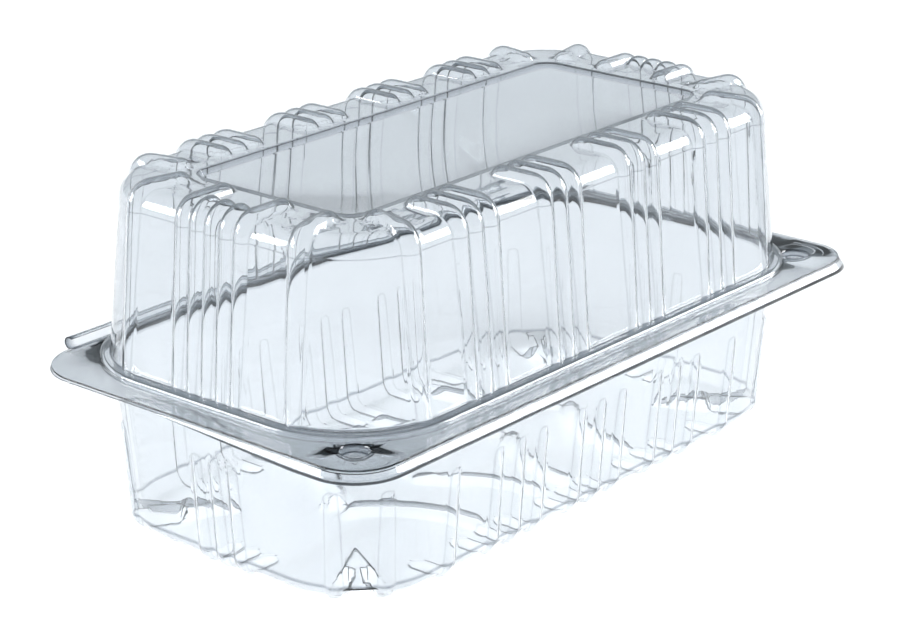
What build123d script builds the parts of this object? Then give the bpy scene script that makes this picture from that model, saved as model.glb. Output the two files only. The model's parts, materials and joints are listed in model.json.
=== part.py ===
from build123d import *
import math
import os

# Clear hinged clamshell pack for a loaf or a roll cake: a tub and a domed lid, thermoformed from one
# thin clear sheet and folded together along a rolled hinge at the back (+Y). The front (-Y) opens.
# Millimetres, +Z up. The origin is on the floor, under the middle of the closed pack.

# ---- sheet and fits ----
sheet = 0.4                 # thickness of the formed sheet
nest_gap = 0.3              # room between the lid and the tub wherever they nest

# ---- plan of the body, measured where the lid's wall meets its rim ----
body_length = 200.0
body_width = 107.0
body_corner_radius = 30.0

# ---- heights, from the floor up ----
foot_drop = 1.6             # the feet stand this far below the bottom panel
tub_bottom_round = 3.6      # roll between the tub's wall and its bottom panel
tub_wall_height = 42.5
rim_step = 2.0              # the rim bead stands this far above the flange
lid_wall_height = 43.0
lid_shoulder_round = 5.4    # roll between the lid's wall and its top ring
lid_draft = 5.8             # degrees
tub_draft = 5.2             # degrees
tub_inset = 0.6             # top of the tub's wall, inside the foot of the lid's wall

# ---- rim, flange and snaps ----
bead_width = 3.0
bead_chamfer = 1.2
flange_side = 10.0          # flange beyond the lid's wall on the short sides
flange_front = 8.5
flange_back = 3.6
flange_front_radius = 13.0
flange_back_radius = 16.0
lip_drop = 2.6              # the tub's flange turns down and out along the front
lip_draft = 36.0            # degrees
lip_start = 12.0            # the lip begins this far behind the body's middle on the short sides
lip_full = 40.0             # and has its full drop this far in front of it
snap_in_x = 2.5             # snap centre, inwards from the end and the front of the body's plan
snap_in_y = 4.5
snap_radius = 3.8
snap_depth = 1.8

# ---- rolled hinge ----
hinge_radius = 1.8          # outside of the roll
hinge_end_gap = 1.0         # from the roll's ends to the back corners' arcs
hinge_wrap = 215.0          # degrees of the roll, from under the axis, round the back and over the top

# ---- lid: top ring, panel and ribs ----
ring_width = 20.5
panel_recess = 1.5
panel_step_run = 1.0
rib_pitch = 6.1
rib_valley = 0.2            # flat left between two neighbouring ribs
rib_crest = 2.4             # width of a rib's top, between its sloped sides
rib_height = 2.4            # how far a rib stands out of the ring
rib_bend = 5.0              # how far the rib's turn over the shoulder reaches along both its legs
rib_nose_run = 1.7          # slope of a rib's nose
flute_height_top = 1.6      # how far it stands out of the wall under the shoulder
flute_height_foot = 0.9     # and at its tip above the rim
flute_tip = 0.8             # from the wall's foot up to the tip
flute_tip_run = 3.4
ribs_per_group = 3
group_count = 4
group_end_gap = 12.6        # from the outermost rib to the corner's arc
end_rib_pitch = 5.15        # narrower ribs in the middle of each short side
end_rib_crest = 1.8
end_rib_count = 5
nose_gap = 3.0              # from a long rib's nose to the panel's edge
short_rib_flat = 2.8        # flat length of the middle end ribs, which start at the shoulder
corner_rib_turn = 12.0      # degrees from each end of a corner's arc to its rib

# ---- tub: feet and bottom relief ----
foot_width = 6.0
foot_crest = 2.6
foot_run = 9.5              # from the bottom's rounded edge to the foot's nose
foot_bend = 3.2
foot_nose_run = 1.8
foot_flute = 1.1            # how far a foot's flute stands out of the wall at the bottom
foot_flute_top = 0.6        # and at its upper end
foot_flute_height = 33.0
foot_tip_run = 3.0
foot_pitch = 9.3
feet_per_group = 3
foot_group_count = 3
foot_group_end_gap = 25.7   # from the outermost foot of a group to the corner's arc
single_foot_gap = 8.0       # from the single foot to the corner's arc
end_foot_pitch = 6.5
end_foot_count = 3
corner_foot_turn = 30.0     # degrees from each end of a corner's arc to its foot
gusset_reach = 4.0          # the corner gusset's apex lies this far behind the corner arc's centre
gusset_height = 3.0
gusset_half_angle = 11.0    # degrees
wave_in_x = 26.0            # centre of a curved bottom ridge, inwards from the body's plan
wave_in_y = 18.7
wave_radius = 40.6
wave_start = 2.0            # degrees, near the long side
wave_end = 46.0             # degrees, near the middle
wave_facets = 4
wave_width = 7.0
wave_crest = 3.0
wave_height = 2.8
wave_nose_run = 2.4
rib_root = 8.0              # ribs and feet run this deep into the form that carries them

# ---- worked out ----
z_panel = foot_drop
z_bottom_crease = z_panel + tub_bottom_round
z_flange = z_bottom_crease + tub_wall_height        # top of the tub's flange
z_lid_flange = z_flange + nest_gap                  # underside of the lid's flange
z_foot = z_lid_flange + sheet + rim_step            # foot of the lid's wall, on the rim bead
z_shoulder = z_foot + lid_wall_height
z_ring = z_shoulder + lid_shoulder_round
half_x = body_length / 2
half_y = body_width / 2
arc_x = half_x - body_corner_radius
arc_y = half_y - body_corner_radius
group_span = (ribs_per_group - 1) * rib_pitch
group_pitch = (2 * (arc_x - group_end_gap) - group_span) / (group_count - 1)
foot_group_span = (feet_per_group - 1) * foot_pitch
foot_group_pitch = (2 * (arc_x - foot_group_end_gap) - foot_group_span) / (foot_group_count - 1)
single_foot_place = arc_x - single_foot_gap
snap_x = half_x - snap_in_x
snap_y = half_y - snap_in_y
hinge_half_length = half_x + flange_side - flange_back_radius - hinge_end_gap
rib_width = rib_pitch - rib_valley
end_rib_width = end_rib_pitch - rib_valley
lid_lean = lid_wall_height * math.tan(math.radians(lid_draft))
tub_lean = tub_wall_height * math.tan(math.radians(tub_draft))
hinge_z = z_flange + hinge_radius - sheet
lid_edge_drop = hinge_z - z_lid_flange              # the lid's flange lies this far under the axis
hinge_gap = math.sqrt((hinge_radius + nest_gap + 0.02) ** 2 - lid_edge_drop**2)
hinge_y = half_y + flange_back + hinge_gap
lip_out = lip_drop * math.tan(math.radians(lip_draft))
front_reach = half_y + flange_front + lip_out
back_reach = hinge_y + hinge_radius
shift_y = (front_reach - back_reach) / 2


def plate(grow, z, height, taper=0.0):
    """A block with the body's rounded plan, grown outwards all round, between z and z + height."""
    plan = RectangleRounded(
        2 * (half_x + grow), 2 * (half_y + grow), body_corner_radius + grow
    )
    return extrude(Pos(0, 0, z) * plan, amount=height, taper=taper)


def rolled_plate(grow, z, radius, way):
    """A plate from z upwards (way = 1) or downwards (way = -1), its edge rolled in two facets."""
    steps = []
    for angle in (0, 45, 90):
        turn = math.radians(angle)
        steps.append((radius * (1 - math.cos(turn)), radius * math.sin(turn)))
    layers = []
    for (run, rise), (next_run, next_rise) in zip(steps, steps[1:]):
        slope = math.atan2(next_run - run, next_rise - rise)
        layers.append(
            plate(grow - run, z + way * rise, way * (next_rise - rise), math.degrees(slope))
        )
    return layers[0] + layers[1:]


def chamfered_plate(grow, z, top):
    """A bead's block, from z up to its chamfered top."""
    block = plate(grow, z, top - z)
    return chamfer(block.edges().filter_by_position(Axis.Z, top - 0.01, top + 0.01), bead_chamfer)


def places(count, pitch):
    return [(i - (count - 1) / 2) * pitch for i in range(count)]


def on_long_sides(rib, positions):
    return [
        Rot(0, 0, side) * Pos(x, -half_y, 0) * rib for x in positions for side in (0, 180)
    ]


def on_short_sides(rib, positions):
    return [
        Rot(0, 0, side) * Pos(y, -half_x, 0) * rib for y in positions for side in (90, 270)
    ]


def on_corners(rib, turn_in):
    copies = []
    for start, sign_x, sign_y in ((0, 1, 1), (90, -1, 1), (180, -1, -1), (270, 1, -1)):
        for turn in (turn_in, 90 - turn_in):
            copies.append(
                Pos(sign_x * arc_x, sign_y * arc_y, 0) * Rot(0, 0, start + turn + 90)
                * Pos(0, -body_corner_radius, 0) * rib
            )
    return copies


def inset(outline, distance):
    """A convex outline, given counterclockwise in Y and Z, with every side moved inwards."""
    lines = []
    for (y, z), (next_y, next_z) in zip(outline, outline[1:] + outline[:1]):
        length = math.hypot(next_y - y, next_z - z)
        in_y, in_z = (z - next_z) / length, (next_y - y) / length
        lines.append((in_y, in_z, in_y * y + in_z * z + distance))
    moved = []
    for (a, b, c), (d, e, f) in zip(lines[-1:] + lines[:-1], lines):
        turn = a * e - b * d
        moved.append(((c * e - b * f) / turn, (a * f - c * d) / turn))
    return moved


def ridge(outline, crest, width, height, skin):
    """A rib with this outline from the side: a flat crest between two sloped sides.
    With skin = sheet, the hollow under it."""
    side_run = (width - crest) / 2
    half_crest = crest / 2 - skin * math.tan(math.atan2(height, side_run) / 2)
    middle = inset(outline, skin)
    end = inset(middle, height)
    layers = [
        [(x, y, z) for y, z in points]
        for x, points in (
            (-half_crest - side_run, end), (-half_crest, middle),
            (half_crest, middle), (half_crest + side_run, end),
        )
    ]
    faces = [Face(Wire.make_polygon(layer)) for layer in (layers[0], layers[-1])]
    for near, far in zip(layers, layers[1:]):
        for i in range(len(outline)):
            faces.append(Face(Wire.make_polygon([near[i - 1], near[i], far[i], far[i - 1]])))
    return Solid(Shell(faces))


# ---- lid ----
def lid_rib(crest, width, nose_y, skin):
    """A rib of the lid, from its nose on the ring, over the shoulder and down the wall."""
    top = z_ring + rib_height
    bend_y = lid_lean - flute_height_top
    tip_z = z_foot + flute_tip
    outline = [
        (nose_y, z_ring),
        (nose_y - rib_nose_run, top),
        (bend_y + rib_bend, top),
        (bend_y, top - rib_bend),
        (-flute_height_foot, tip_z + flute_tip_run),
        (0, tip_z),
        (rib_root, tip_z),
        (nose_y, z_ring - rib_root),
    ]
    return ridge(outline, crest, width, rib_height, skin)


def lid_form(skin):
    """The lid's outer form, or with skin = sheet the space inside it."""
    low = z_lid_flange - (1.0 if skin else 0.0)
    bead = chamfered_plate(bead_width - skin, low, z_foot - skin)
    wall = plate(-skin, z_foot - skin, lid_wall_height + skin, lid_draft)
    dome = rolled_plate(-lid_lean - skin, z_shoulder, lid_shoulder_round - skin, 1)
    long_nose = lid_lean + ring_width - nose_gap
    short_nose = lid_lean - flute_height_top + rib_bend + short_rib_flat + rib_nose_run
    long_rib = lid_rib(rib_crest, rib_width, long_nose, skin)
    end_rib = lid_rib(end_rib_crest, end_rib_width, long_nose, skin)
    short_rib = lid_rib(end_rib_crest, end_rib_width, short_nose, skin)
    groups = [
        middle + offset_x
        for middle in places(group_count, group_pitch)
        for offset_x in places(ribs_per_group, rib_pitch)
    ]
    end_places = places(end_rib_count, end_rib_pitch)
    ribs = (
        on_long_sides(long_rib, groups)
        + on_short_sides(end_rib, (end_places[0], end_places[-1]))
        + on_short_sides(short_rib, end_places[1:-1])
        + on_corners(long_rib, corner_rib_turn)
    )
    form = (bead + wall + dome).fuse(*ribs)
    # the top panel lies in a shallow recess with sloped sides
    slope = math.atan2(panel_step_run, panel_recess)
    above = 0.5
    edge = skin - lid_lean - ring_width + above * math.tan(slope)
    return form - plate(
        edge, z_ring - skin + above, -panel_recess - above, math.degrees(slope)
    )


def flange(z, height, taper=0.0, grow=0.0):
    """The flange's plan, with large corners at the front and at the hinge."""
    back = half_y + flange_back + grow
    front = half_y + flange_front + grow
    side = half_x + flange_side + grow
    face = (Pos(0, (back - front) / 2) * Rectangle(2 * side, back + front)).face()
    face = fillet(face.vertices().group_by(Axis.Y)[0], flange_front_radius + grow)
    face = fillet(face.vertices().group_by(Axis.Y)[-1], flange_back_radius + grow)
    return extrude(Pos(0, 0, z) * face, amount=height, taper=taper)


def snap_cups(grow, z_floor, z_top):
    """The cups of the press studs at both front corners."""
    cup = Cylinder(
        snap_radius + grow, z_top - z_floor, align=(Align.CENTER, Align.CENTER, Align.MIN)
    )
    return [Pos(side * snap_x, -snap_y, z_floor) * cup for side in (-1, 1)]


def make_lid():
    top = z_lid_flange + sheet
    floor = top - snap_depth
    outer = lid_form(0.0) + flange(z_lid_flange, sheet)
    shell = outer - lid_form(sheet)
    shell = shell.fuse(*snap_cups(sheet, floor - sheet, top))
    return shell.cut(*snap_cups(0.0, floor, top + 1))


# ---- tub ----
def tub_foot(skin):
    """A foot, from its nose under the bottom panel, round the edge and up the wall."""
    wall_y = tub_inset + tub_lean
    nose_y = wall_y + tub_bottom_round + foot_run
    bend_y = wall_y - foot_flute
    tip_y = tub_inset + tub_lean * (z_flange - foot_flute_height) / tub_wall_height
    outline = [
        (nose_y, z_panel + rib_root),
        (tip_y + rib_root, foot_flute_height),
        (tip_y, foot_flute_height),
        (tip_y - foot_flute_top, foot_flute_height - foot_tip_run),
        (bend_y, foot_bend),
        (bend_y + foot_bend, 0),
        (nose_y - foot_nose_run, 0),
        (nose_y, z_panel),
    ]
    return ridge(outline, foot_crest, foot_width, foot_drop, skin)


def gussets(shrink):
    """Wedges under the corners, which lift the bottom edge between each corner's two feet."""
    reach = body_corner_radius + 10
    half = reach * math.tan(math.radians(gusset_half_angle))
    outline = Polyline((2 * shrink, 0), (reach, half), (reach, -half), close=True)
    wedge = extrude(make_face(outline), amount=gusset_height + 4 + sheet - shrink)
    corners = []
    for start, sign_x, sign_y in ((0, 1, 1), (90, -1, 1), (180, -1, -1), (270, 1, -1)):
        corners.append(
            Pos(sign_x * arc_x, sign_y * arc_y, z_panel - 4) * Rot(0, 0, start + 45)
            * Pos(-gusset_reach, 0, 0) * wedge
        )
    return corners


def waves(shrink):
    """Curved ridges that stiffen the bottom panel, or with shrink = sheet the hollows under them."""
    side_run = (wave_width - wave_crest) / 2
    slope = side_run / wave_height
    top = z_panel + sheet + wave_height - shrink
    low = z_panel - 1
    crest = wave_crest / 2 - shrink * math.tan(math.atan2(wave_height, side_run) / 2)
    base = crest + slope * (top - low)
    run = base - crest + wave_nose_run - side_run
    stations = []
    for i in range(wave_facets + 1):
        turn = math.radians(wave_start + (wave_end - wave_start) * i / wave_facets)
        stations.append((math.cos(turn), math.sin(turn)))

    def at(station, offset, z, along=0.0):
        out_x, out_y = station
        reach = wave_radius + offset
        return (out_x * reach - out_y * along, out_y * reach + out_x * along, z)

    near = [at(station, base, low) for station in stations]
    far = [at(station, -base, low) for station in stations]
    near_top = [at(station, crest, top) for station in stations]
    far_top = [at(station, -crest, top) for station in stations]
    tail = [at(stations[0], offset, low, -run) for offset in (-base, base)]
    head = [at(stations[-1], offset, low, run) for offset in (base, -base)]
    outlines = [tail + near + head + far[::-1], near_top + far_top[::-1]]
    for side, side_top in ((near, near_top), (far, far_top)):
        for i in range(1, len(stations)):
            outlines.append([side[i - 1], side[i], side_top[i], side_top[i - 1]])
    outlines += [
        [tail[0], tail[1], near_top[0], far_top[0]], [head[0], head[1], far_top[-1], near_top[-1]],
        [tail[1], near[0], near_top[0]], [tail[0], far[0], far_top[0]],
        [head[0], near[-1], near_top[-1]], [head[1], far[-1], far_top[-1]],
    ]
    ridge_solid = Solid(Shell([Face(Wire.make_polygon(outline)) for outline in outlines]))
    quarter = Pos(wave_in_x - half_x, wave_in_y - half_y, 0) * ridge_solid
    pair = [quarter, mirror(quarter, Plane.XZ)]
    return pair + [mirror(wave, Plane.YZ) for wave in pair]


def tub_form(skin):
    """The tub's outer form, or with skin = sheet the space inside it."""
    grow = -tub_inset - tub_lean - skin
    top = z_flange + rim_step + (1.0 if skin else 0.0)
    wall = plate(grow, z_bottom_crease, top - z_bottom_crease, -tub_draft)
    bottom = rolled_plate(grow, z_bottom_crease, tub_bottom_round - skin, -1)
    groups = [
        middle + offset_x
        for middle in places(foot_group_count, foot_group_pitch)
        for offset_x in places(feet_per_group, foot_pitch)
    ]
    foot = tub_foot(skin)
    feet = (
        on_long_sides(foot, groups + [-single_foot_place, single_foot_place])
        + on_short_sides(foot, places(end_foot_count, end_foot_pitch))
        + on_corners(foot, corner_foot_turn)
    )
    relief = gussets(sheet - skin) + waves(sheet - skin)
    return (wall + bottom).cut(*relief).fuse(*feet)


def rim_form(skin):
    """The tub's rim bead, which nests under the lid's, or the groove below it."""
    low = z_flange - sheet - (1.0 if skin else 0.0)
    return chamfered_plate(bead_width - sheet - nest_gap - skin, low, z_flange + rim_step - skin)


def lip():
    """The flange's turned-down edge, which fades out along the short sides."""
    inset = sheet * math.tan(math.radians(45 - lip_draft / 2))
    skirt = flange(z_flange, -lip_drop, -lip_draft)
    skirt -= flange(z_flange - sheet, -lip_drop, -lip_draft, -inset)
    low, far = z_flange - lip_drop, 2 * body_width
    kept = Polyline(
        (lip_start, z_flange), (-lip_full, low), (-far, low), (-far, z_flange), close=True
    )
    return skirt & extrude(Plane.YZ * make_face(kept), amount=body_length, both=True)


def hinge_roll():
    """The fold between the two halves: an open roll of sheet that goes on from the back flange."""
    middle = math.radians(hinge_wrap / 2 - 90)
    end = math.radians(hinge_wrap - 90)
    outer, inner = hinge_radius, hinge_radius - sheet
    under = half_y + flange_back - 1

    def at(radius, angle):
        return (hinge_y + radius * math.cos(angle), hinge_z + radius * math.sin(angle))

    outline = Curve() + [
        Line((under, hinge_z - outer), (hinge_y, hinge_z - outer)),
        ThreePointArc((hinge_y, hinge_z - outer), at(outer, middle), at(outer, end)),
        Line(at(outer, end), at(inner, end)),
        ThreePointArc(at(inner, end), at(inner, middle), (hinge_y, hinge_z - inner)),
        Line((hinge_y, hinge_z - inner), (under, hinge_z - inner)),
        Line((under, hinge_z - inner), (under, hinge_z - outer)),
    ]
    return extrude(Plane.YZ * make_face(outline), amount=hinge_half_length, both=True)


def make_tub():
    top = z_flange
    floor = z_lid_flange - snap_depth - nest_gap        # top face of the cup's floor
    body = tub_form(0.0)
    shell = body + rim_form(0.0) + flange(top, -sheet) + lip() + hinge_roll()
    shell = shell - (rim_form(sheet) - body) - tub_form(sheet)
    shell = shell.fuse(*snap_cups(2 * sheet + nest_gap, floor - sheet, top))
    shell = shell.cut(*snap_cups(sheet + nest_gap, floor, top + 1))
    return shell


if __name__ == "__main__":
    os.makedirs("parts", exist_ok=True)
    seat = Pos(0, shift_y, 0)
    export_step(seat * make_lid(), "parts/lid.step")
    export_step(seat * make_tub(), "parts/tub.step")
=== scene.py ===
import json
import math

import bmesh
import bpy
from mathutils import Matrix, Vector


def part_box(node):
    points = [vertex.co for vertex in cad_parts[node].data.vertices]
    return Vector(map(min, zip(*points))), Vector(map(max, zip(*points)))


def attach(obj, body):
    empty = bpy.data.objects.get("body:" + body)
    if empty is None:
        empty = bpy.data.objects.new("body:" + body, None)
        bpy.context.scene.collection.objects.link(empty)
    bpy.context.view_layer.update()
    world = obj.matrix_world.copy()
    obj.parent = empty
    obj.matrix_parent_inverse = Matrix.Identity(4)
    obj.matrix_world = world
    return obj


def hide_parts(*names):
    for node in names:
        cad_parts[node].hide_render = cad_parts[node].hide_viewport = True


# A clear thermoformed clamshell pack. Metres, in the CAD model's frame: the origin is on the floor
# under the middle of the closed pack, +X along its length, the hinge at +Y.
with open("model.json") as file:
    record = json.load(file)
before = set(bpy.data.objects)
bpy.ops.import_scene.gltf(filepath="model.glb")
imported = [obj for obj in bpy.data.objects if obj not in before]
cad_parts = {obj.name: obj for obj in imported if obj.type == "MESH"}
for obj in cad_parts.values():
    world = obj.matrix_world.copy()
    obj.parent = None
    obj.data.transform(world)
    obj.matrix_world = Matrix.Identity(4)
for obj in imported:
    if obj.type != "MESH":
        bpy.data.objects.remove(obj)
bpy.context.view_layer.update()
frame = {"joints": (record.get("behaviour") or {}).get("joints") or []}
HINGE = Vector(frame["joints"][0]["pos_m"])
MM = 0.001

bl_info = {
    "name": "Clear clamshell pack",
    "version": (1, 0, 0),
    "blender": (4, 5, 0),
    "location": "3D View > Sidebar > Pack",
    "description": "Builds the two clear ribbed shells of a hinged food pack, and a studio for them",
    "category": "Object",
}

# an edge that bends by more than this is kept sharp
SHARP_EDGE = math.radians(38)
# half the width of a painted dark shade line along a fold, and how far a soft edge is let down beside it
FOLD_LINE = 0.15 * MM
EASE = 0.1 * MM
# how dark the painted shade line along a fold is, from 0 for none
FAINT_FOLD, SOFT_FOLD, FOLD, STRONG_FOLD, CUT_EDGE = 0.25, 0.4, 0.5, 0.6, 0.8
# rows of the lid's wall, in millimetres above its foot, close together at the flutes' tips
LID_WALL_ROWS = (
    0.45, 0.8, 1.2, 1.8, 2.4, 3.0, 3.7, 4.5, 6.0, 10.0, 18.0, 26.0, 34.0, 38.0, 40.0, 41.0,
    42.1, 42.7,
)
# rows of the tub's wall, in shares of its height, close together at the flutes' tips and the feet
TUB_WALL_ROWS = (
    1.0, 0.92, 0.8, 0.7, 0.655, 0.625, 0.595, 0.565, 0.5, 0.4, 0.3, 0.2, 0.12, 0.06, 0.025,
)


def length(label, note, value):
    return bpy.props.FloatProperty(
        name=label, description=note, default=value, min=0.0, unit="LENGTH", precision=5
    )


def angle(label, note, degrees):
    return bpy.props.FloatProperty(
        name=label, description=note, default=math.radians(degrees), subtype="ANGLE"
    )


def tint(label, note, value):
    return bpy.props.FloatVectorProperty(
        name=label, description=note, default=value, size=3, min=0.0, max=1.0, subtype="COLOR"
    )


class PackSizes(bpy.types.PropertyGroup):
    """The sizes that both halves of the pack share."""

    sheet: length("Sheet", "Thickness of the formed sheet", 0.4 * MM)
    nest: length("Nesting gap", "Room between the lid's rim and the tub's", 0.3 * MM)
    body_x: length("Half length", "Half the body's length at the foot of the lid's wall", 100 * MM)
    body_y: length("Half width", "Half the body's width at the foot of the lid's wall", 53.5 * MM)
    body_corner: length("Corner radius", "Plan radius of the body's corners", 30 * MM)
    flange_z: length("Flange height", "Top of the tub's flange above the floor", 47.7 * MM)
    rim_step: length("Rim step", "Height of the rim bead above the flange", 2.0 * MM)
    bead: length("Bead width", "Width of the lid's rim bead", 3.0 * MM)
    bead_round: length("Bead rounding", "Rounding of the rim bead", 1.3 * MM)
    flange_x: length("Flange, sides", "Flange beyond the lid's wall on the short sides", 10 * MM)
    flange_front: length("Flange, front", "Flange beyond the lid's wall at the front", 8.5 * MM)
    flange_back: length("Flange, back", "Flange beyond the lid's wall at the hinge", 3.6 * MM)
    corner_front: length("Front corners", "Plan radius of the flange's front corners", 13 * MM)
    corner_back: length("Back corners", "Plan radius of the flange's back corners", 16 * MM)
    snap_x: length("Snap, along", "Snap centre from the middle, along the pack", 97.5 * MM)
    snap_y: length("Snap, across", "Snap centre from the body's middle, towards the front", 49 * MM)
    snap_mouth: length("Snap mouth", "Radius of the snap's mouth", 4.1 * MM)
    snap_floor: length("Snap floor", "Radius of the snap's floor", 3.4 * MM)
    snap_depth: length("Snap depth", "Depth of the snap's cup", 1.8 * MM)


class LidSizes(bpy.types.PropertyGroup):
    """The lid's own sizes."""

    wall: length("Wall height", "From the rim bead up to the shoulder", 43 * MM)
    draft: angle("Draft", "Lean of the lid's wall", 5.8)
    shoulder: length("Shoulder", "Rounding between the wall and the top ring", 5.4 * MM)
    ring: length("Ring width", "From the shoulder line to the recessed panel", 20.5 * MM)
    recess: length("Recess", "Depth of the top panel", 1.5 * MM)
    recess_run: length("Recess slope", "Run of the recess's sloped side", 1.0 * MM)
    rib_rise: length("Rib height", "How far a rib stands out of the ring", 2.4 * MM)
    rib_round: length("Rib rounding", "Radius of the long sides' ribs", 3.3 * MM)
    end_round: length("End rib rounding", "Radius of the short sides' ribs", 2.75 * MM)
    flute_top: length("Flute, top", "How far a flute stands out under the shoulder", 1.6 * MM)
    flute_foot: length("Flute, foot", "How far a flute stands out at its lower tip", 0.7 * MM)
    flute_run: length("Flute run", "How far a flute's centre line runs on below the wall", 3 * MM)
    turn: length("Rib bend", "Radius of a rib's turn over the shoulder", 7.2 * MM)
    nose_gap: length("Nose gap", "From a long rib's nose to the panel's edge", 3.0 * MM)
    short_nose: length("Short rib", "Nose of a short rib, from the shoulder line", 8.0 * MM)
    pitch: length("Rib pitch", "Pitch of the ribs in a group", 6.1 * MM)
    group_pitch: length("Group pitch", "Pitch of the groups on the long sides", 34.2 * MM)
    end_pitch: length("End rib pitch", "Pitch of the ribs on the short sides", 5.15 * MM)
    corner_turn: angle("Corner rib", "From each end of a corner's arc to its rib", 12)


class TubSizes(bpy.types.PropertyGroup):
    """The tub's own sizes."""

    foot_drop: length("Foot height", "How far the feet stand below the bottom panel", 1.6 * MM)
    edge: length("Bottom edge", "Rounding between the wall and the bottom panel", 3.6 * MM)
    wall: length("Wall height", "From the bottom edge up to the flange", 42.5 * MM)
    draft: angle("Draft", "Lean of the tub's wall", 5.2)
    inset: length("Inset", "Top of the tub's wall inside the foot of the lid's", 0.6 * MM)
    foot_round: length("Foot rounding", "Radius of a foot", 3.1 * MM)
    foot_reach: length("Foot reach", "From the bottom edge to the foot's nose", 9.5 * MM)
    foot_bend: length("Foot bend", "Radius of a foot's turn round the bottom edge", 6.0 * MM)
    foot_flute: length("Foot flute", "How far a foot stands out of the wall", 1.1 * MM)
    foot_flute_top: length("Foot flute, top", "How far it stands out at its tip", 0.6 * MM)
    foot_height: length("Flute height", "Top of a foot's flute above the floor", 33 * MM)
    pitch: length("Foot pitch", "Pitch of the feet in a group", 9.3 * MM)
    group_pitch: length("Group pitch", "Pitch of the groups on the long sides", 35 * MM)
    single: length("Single foot", "Place of the single feet on the long sides", 62 * MM)
    end_pitch: length("End foot pitch", "Pitch of the feet on the short sides", 6.5 * MM)
    corner_turn: angle("Corner foot", "From each end of a corner's arc to its foot", 30)
    wave_x: length("Wave centre, along", "Middle of a bottom wave's arc, from the middle", 74 * MM)
    wave_y: length("Wave centre, across", "The same, across the pack", 34.8 * MM)
    wave_step: length("Wave step", "From an outer wave to the inner one beside it", 28 * MM)
    wave_radius: length("Wave radius", "Radius of a bottom wave's arc", 40.6 * MM)
    wave_start: angle("Wave start", "Where a wave's arc begins, from the pack's length", 2)
    wave_end: angle("Wave end", "Where a wave's arc ends", 50)
    wave_width: length("Wave width", "Width of a bottom wave at its foot", 7.4 * MM)
    wave_height: length("Wave height", "How far an outer wave stands up", 2.8 * MM)
    gusset: length("Corner gusset", "How far the bottom is lifted under each corner", 3.0 * MM)
    gusset_reach: length("Gusset reach", "Gusset's tip, inwards of the corner's arc centre", 4 * MM)
    gusset_angle: angle("Gusset angle", "From the gusset's middle to its side", 17)
    gusset_soft: length("Gusset slope", "Run of the gusset's sloped sides", 2.4 * MM)
    lip_drop: length("Lip drop", "How far the flange turns down along the front", 2.6 * MM)
    lip_draft: angle("Lip draft", "Lean of the turned-down lip", 36)
    lip_start: length("Lip start", "Where the lip begins, behind the body's middle", 12 * MM)
    lip_full: length("Lip full", "Where it is whole, in front of the body's middle", 40 * MM)
    roll: length("Hinge roll", "Outside radius of the rolled hinge", 1.8 * MM)
    roll_half: length("Hinge half length", "Half the length of the rolled hinge", 93 * MM)


class PackFinish(bpy.types.PropertyGroup):
    """Colours of the clear sheet, of the shade painted along its folds, and of the studio."""

    clear: tint("Clear sheet", "Tint of the sheet where it is seen face on", (0.83, 0.85, 0.868))
    # edge is painted shade: the dark colour of the lines painted along folds and rib outlines
    edge: tint("Sheet edge", "Tint where the sheet is creased", (0.05, 0.08, 0.12))
    floor: tint("Floor", "Colour of the floor", (0.90, 0.91, 0.92))
    horizon: tint("Horizon", "Colour of the studio's wall, low down", (0.40, 0.44, 0.47))
    overhead: tint("Overhead", "Colour of the studio overhead", (0.13, 0.16, 0.19))


def body_shift():
    """The body's middle lies this far from the frame's origin, towards the hinge."""
    pack = bpy.context.scene.pack_sizes
    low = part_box("lid")[0]
    return low.y + pack.body_y + pack.flange_front


# outlines and reliefs
def stations(start, end, marks, band, fine, coarse):
    """Places from start to end, close together within a band round each mark."""
    found = [start]
    while found[-1] < end:
        near = min(abs(found[-1] - mark) for mark in marks)
        step = fine if near < band else min(coarse, max(near - band, fine))
        found.append(found[-1] + step)
    scale = (end - start) / (found[-1] - start)
    return [start + (place - start) * scale for place in found]


def columns_round(long_marks, short_marks, turn, band, fine):
    """Columns round the body's plan, close together at each rib: x, y and the outward direction."""
    pack = bpy.context.scene.pack_sizes
    coarse, corner_spread = 3.5 * MM, 1.1
    radius = pack.body_corner
    arc_x, arc_y = pack.body_x - radius, pack.body_y - radius
    long_side = stations(-arc_x, arc_x, long_marks, band, fine, coarse)
    short_side = stations(-arc_y, arc_y, short_marks, band, fine, coarse)
    quarter = stations(
        0.0, radius * math.pi / 2, [radius * turn, radius * (math.pi / 2 - turn)],
        band * corner_spread, fine * corner_spread, coarse,
    )
    found = []
    for side in range(4):
        along = long_side if side % 2 == 0 else short_side
        reach = pack.body_y if side % 2 == 0 else pack.body_x
        half = arc_x if side % 2 == 0 else arc_y
        facing = math.radians(-90 + 90 * side)
        out = Vector((math.cos(facing), math.sin(facing)))
        on = Vector((-out.y, out.x))
        for place in along[:-1]:
            point = out * reach + on * place
            found.append((point.x, point.y, out.x, out.y))
        centre = out * (reach - radius) + on * half
        for place in quarter[:-1]:
            way = Matrix.Rotation(place / radius, 2) @ out
            point = centre + way * radius
            found.append((point.x, point.y, way.x, way.y))
    return found


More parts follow.
